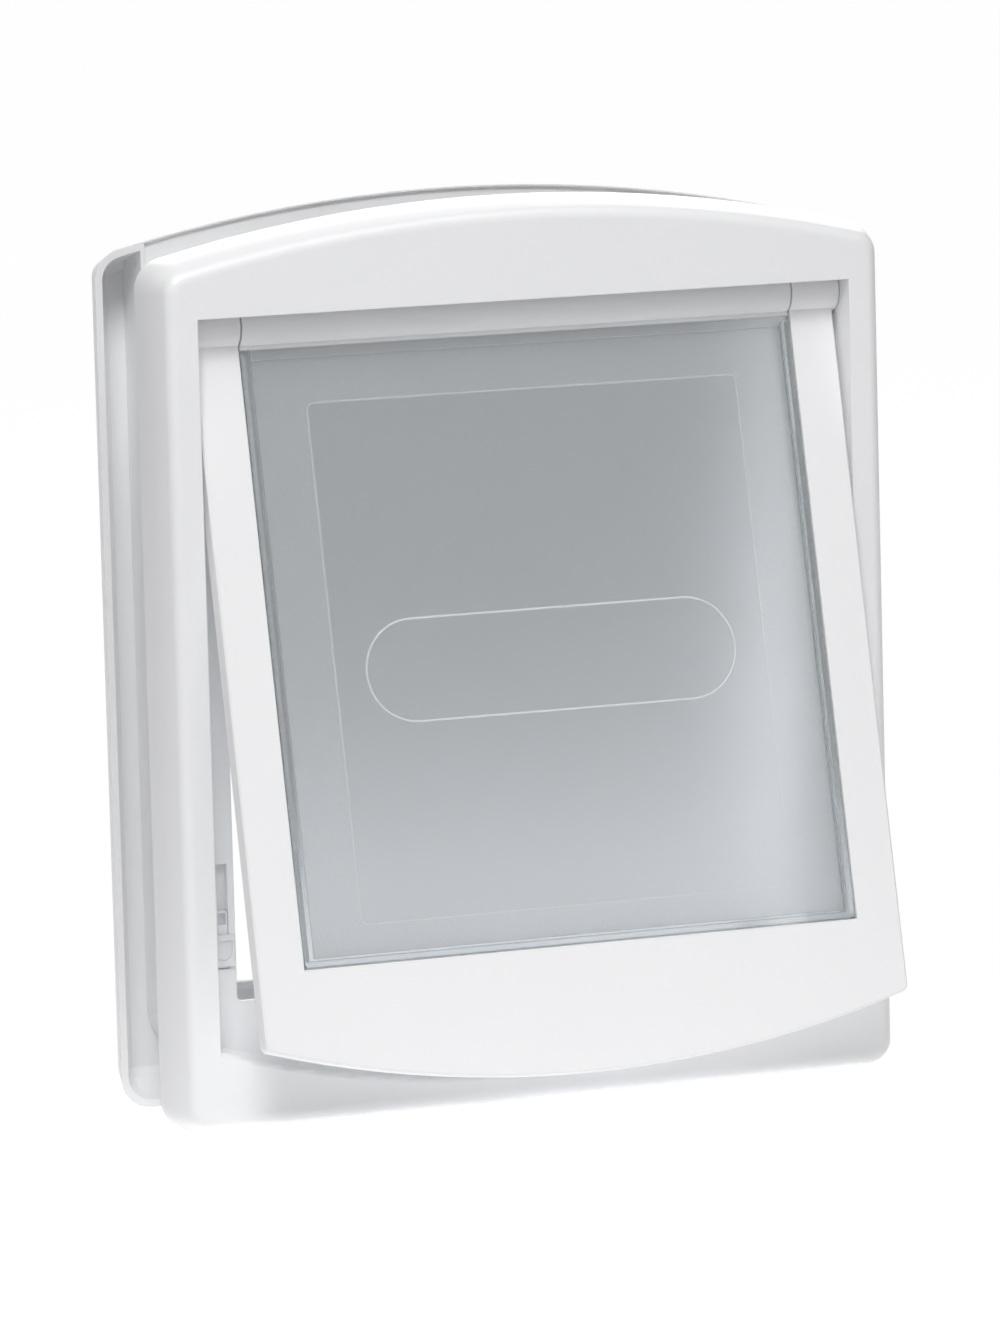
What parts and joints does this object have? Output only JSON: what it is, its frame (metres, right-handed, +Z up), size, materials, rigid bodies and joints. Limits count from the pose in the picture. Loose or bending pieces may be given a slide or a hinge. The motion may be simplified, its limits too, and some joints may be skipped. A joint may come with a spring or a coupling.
{
  "type": "cat flap",
  "caption": "Two-way cat flap for a door: arched outer frame, self-lining tunnel, tinted swinging panel in a U-shaped outer flap, sliding catches and an inner frame.",
  "frame": {"origin": "on the outer face of the door, at the foot of the outer frame and midway across it", "axes": "+X to the right seen from outdoors, +Y through the door from outdoors to indoors, +Z up"},
  "size_m": [0.198, 0.0991, 0.2326],
  "materials": {
    "white_shell": "satin gloss white moulding",
    "white_flap": "satin white moulding",
    "white_catch": "satin white moulding",
    "smoke_panel": "smoke-tinted, finely frosted, see-through",
    "steel": "plain bright steel"
  },
  "bodies": {
    "outer_frame": {"front_frame": "white_shell", "hinge_pin_left": "steel", "hinge_pin_right": "steel", "pin_retainer_left": "white_shell", "pin_retainer_right": "white_shell"},
    "surround": {"flap_surround": "white_flap"},
    "window": {"flap_window": "smoke_panel"},
    "catch_left": {"lock_slide_left": "white_catch"},
    "catch_right": {"lock_slide_right": "white_catch"},
    "inner_frame": {"back_frame": "white_shell", "fixing_screws": "steel", "screw_caps": "white_catch"}
  },
  "joints": [
    {"name": "surround_hinge", "type": "hinge", "parent": "outer_frame", "child": "surround", "pos_m": [0, -0.0052, 0.204], "axis": [1, 0, 0], "range_deg": [-65, 13.1]},
    {"name": "window_hinge", "type": "hinge", "parent": "surround", "child": "window", "pos_m": [0, -0.0052, 0.204], "axis": [1, 0, 0], "range_deg": [0, 75]},
    {"name": "catch_left_slide", "type": "slide", "parent": "outer_frame", "child": "catch_left", "axis": [0, 0, 1], "range_m": [0, 0.012]},
    {"name": "catch_right_slide", "type": "slide", "parent": "outer_frame", "child": "catch_right", "axis": [0, 0, 1], "range_m": [0, 0.012]},
    {"name": "door_thickness_slide", "type": "slide", "parent": "outer_frame", "child": "inner_frame", "axis": [0, 1, 0], "range_m": [-0.005, 0.026]}
  ]
}
